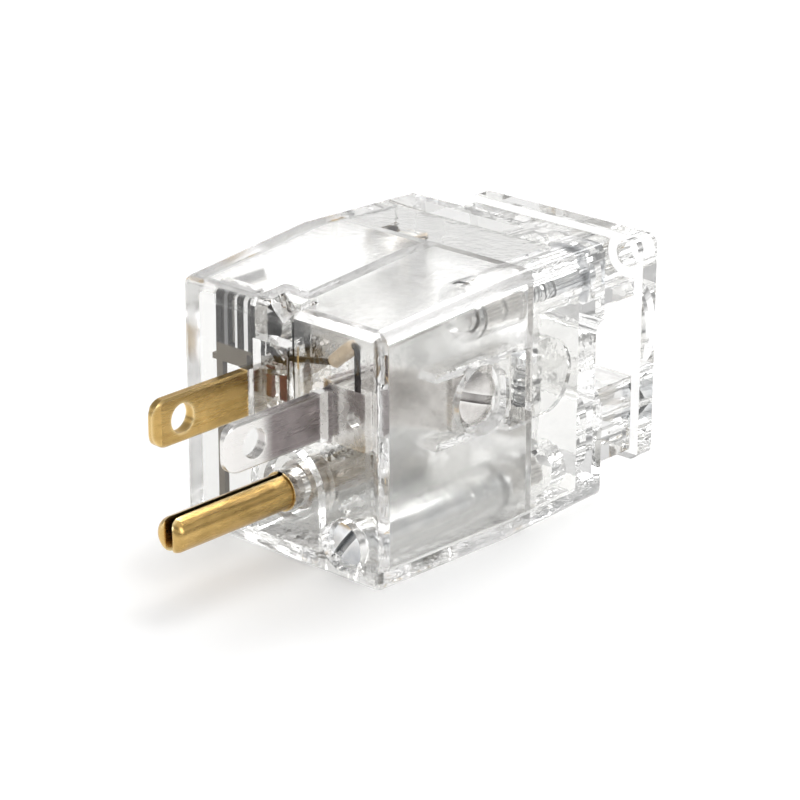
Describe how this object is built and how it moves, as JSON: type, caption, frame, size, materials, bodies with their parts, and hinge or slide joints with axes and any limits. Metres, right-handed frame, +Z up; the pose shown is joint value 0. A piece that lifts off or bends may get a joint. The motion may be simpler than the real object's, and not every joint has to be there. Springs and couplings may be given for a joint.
{
  "type": "fused plug",
  "caption": "Clear wireable mains plug with flat blades, a folded ground pin, a cartridge fuse in spring clips and screw terminals seen through its housing.",
  "frame": {"origin": "on the ground pin's axis, where the pin leaves the mating face", "axes": "+X to the right as the blades are looked at, +Y back along the plug to the cord entry, +Z up from the ground pin to the blades"},
  "size_m": [0.0368, 0.0769, 0.0362],
  "materials": {
    "clear_plastic": "clear, moulded and glossy",
    "brass": "stamped, with a light tarnish",
    "nickel_plate": "satin nickel plating",
    "dark_bronze": "darkened spring bronze",
    "zinc_steel": "bright zinc plating",
    "lamp_glass": "clear thin glass",
    "electrode_red": "dark red oxide coat",
    "lead_wire": "tinned wire",
    "resistor_body": "tan lacquer",
    "fuse_glass": "clear glass tube",
    "fuse_cap": "nickel-plated cap"
  },
  "bodies": {
    "root": {"front_housing": "clear_plastic", "rear_housing": "clear_plastic", "hot_blade": "brass", "neutral_blade": "nickel_plate", "ground_pin": "brass", "front_fuse_clip": "dark_bronze", "rear_fuse_clip": "dark_bronze", "hot_terminal": "brass", "neutral_terminal": "nickel_plate", "ground_terminal": "nickel_plate", "hot_terminal_screw": "brass", "neutral_terminal_screw": "nickel_plate", "ground_terminal_screw": "zinc_steel", "front_case_screw": "zinc_steel", "upper_case_screw": "zinc_steel", "lower_case_screw": "zinc_steel", "lamp_bulb": "lamp_glass", "lamp_stem": "lamp_glass", "hot_electrode": "electrode_red", "neutral_electrode": "electrode_red", "hot_lamp_lead": "dark_bronze", "neutral_lamp_lead": "dark_bronze", "lamp_resistor": "resistor_body", "lower_cord_saddle": "clear_plastic", "upper_cord_saddle": "clear_plastic", "fuse_glass": "fuse_glass", "fuse_front_cap": "fuse_cap", "fuse_rear_cap": "fuse_cap", "fuse_wire": "lead_wire", "hot_wire_plate": "nickel_plate", "neutral_wire_plate": "nickel_plate", "ground_wire_plate": "zinc_steel", "left_saddle_screw": "zinc_steel", "left_saddle_insert": "nickel_plate", "right_saddle_screw": "zinc_steel", "right_saddle_insert": "nickel_plate", "front_screw_insert": "nickel_plate", "upper_screw_insert": "nickel_plate", "lower_screw_insert": "nickel_plate", "neutral_rivet": "nickel_plate", "hot_rivet": "brass", "clip_rivet": "brass", "ground_rivet": "brass"}
  },
  "joints": []
}
